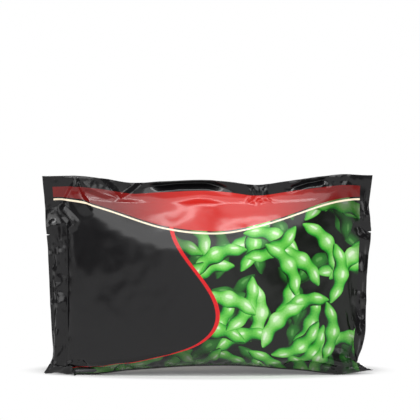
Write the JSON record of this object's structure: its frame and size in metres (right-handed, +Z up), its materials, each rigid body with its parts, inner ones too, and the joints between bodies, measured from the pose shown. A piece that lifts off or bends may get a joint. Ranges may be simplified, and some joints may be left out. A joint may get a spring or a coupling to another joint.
{
  "type": "frozen shelled edamame bag",
  "caption": "Sealed landscape film pouch of frozen shelled beans, welded on all four sides, with a tear notch in each side weld.",
  "frame": {"origin": "under the middle of the pouch, on the surface that it stands on", "axes": "+X along the pouch's long edges towards its right end, +Y out of its back, +Z up"},
  "size_m": [0.323, 0.058, 0.1952],
  "materials": {
    "printed_film": "gloss",
    "plain_film": "gloss",
    "beans": "satin"
  },
  "bodies": {
    "root": {"front_web": "printed_film", "back_web": "plain_film", "bean_fill": "beans"}
  },
  "joints": []
}
